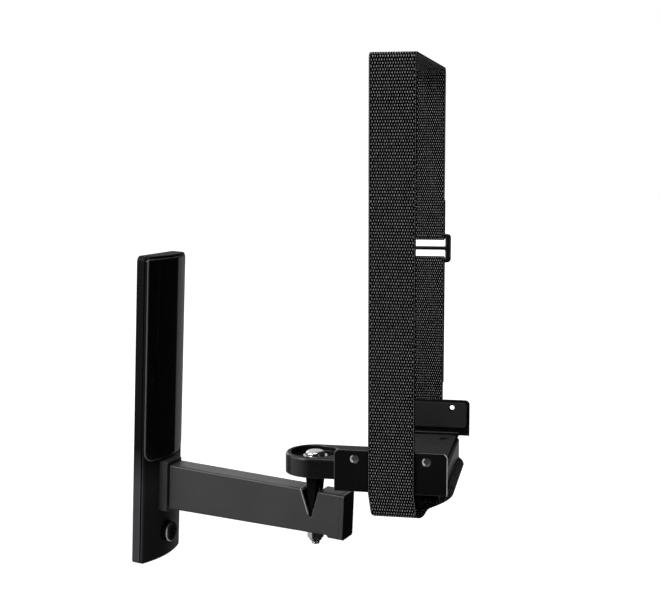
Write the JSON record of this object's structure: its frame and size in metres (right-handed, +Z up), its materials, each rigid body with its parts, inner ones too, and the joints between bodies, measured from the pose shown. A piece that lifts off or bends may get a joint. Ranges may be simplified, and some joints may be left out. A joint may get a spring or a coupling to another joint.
{
  "type": "side-clamp wall bracket",
  "caption": "Black wall bracket with a crowned wall plate, a box arm, a tilting and swivelling cradle, sliding side jaws and a woven safety strap.",
  "frame": {"origin": "centre of the wall plate's back face, midway between its two wall screw holes", "axes": "+X out of the wall along the arm, +Y along the wall, +Z up"},
  "size_m": [0.3264, 0.2314, 0.4829],
  "materials": {
    "black_steel": "black oxide",
    "casting": "die cast, black coated",
    "gloss": "polished black",
    "nylon": "natural nylon",
    "rubber": "moulded black",
    "sheet_steel": "satin black powder coat",
    "trim": "moulded black",
    "webbing": "woven black webbing",
    "zinc": "bright zinc"
  },
  "bodies": {
    "wall_bracket": {"wall_plate": "casting", "gloss_panel": "gloss", "lower_screw_cap": "trim", "arm_socket": "casting", "socket_screws": "black_steel", "arm": "sheet_steel", "arm_screws": "black_steel", "arm_end_cap": "trim"},
    "tilt_head": {"tilt_post": "casting", "swivel_washer": "nylon", "head_washer": "zinc", "swivel_bolt": "zinc", "saddle_washer": "zinc", "lock_nut": "zinc"},
    "cradle": {"cradle_plate": "sheet_steel", "cradle_pad": "rubber", "jaw_bolts": "black_steel", "jaw_washers": "zinc", "jaw_nuts": "zinc", "strap": "webbing"},
    "near_side": {"near_jaw": "sheet_steel", "near_jaw_pad": "rubber"},
    "far_side": {"far_jaw": "sheet_steel", "far_jaw_pad": "rubber", "strap_buckle": "trim"}
  },
  "joints": [
    {"name": "head_tilt", "type": "hinge", "parent": "wall_bracket", "child": "tilt_head", "pos_m": [0.1766, 0, -0.0766], "axis": [0, -1, 0], "range_deg": [-8.6, 11.4]},
    {"name": "cradle_swivel", "type": "hinge", "parent": "tilt_head", "child": "cradle", "pos_m": [0.1766, 0, -0.0766], "axis": [-0.0454, 0, 0.999], "range_deg": [-58.7, 31.3]},
    {"name": "near_jaw_slide", "type": "slide", "parent": "cradle", "child": "near_side", "axis": [0.2366, -0.9715, 0.0107], "range_m": [-0.025, 0.02], "deforming": ["strap"]},
    {"name": "far_jaw_slide", "type": "slide", "parent": "cradle", "child": "far_side", "axis": [-0.2366, 0.9715, -0.0107], "range_m": [-0.025, 0.02], "deforming": ["strap"]}
  ]
}
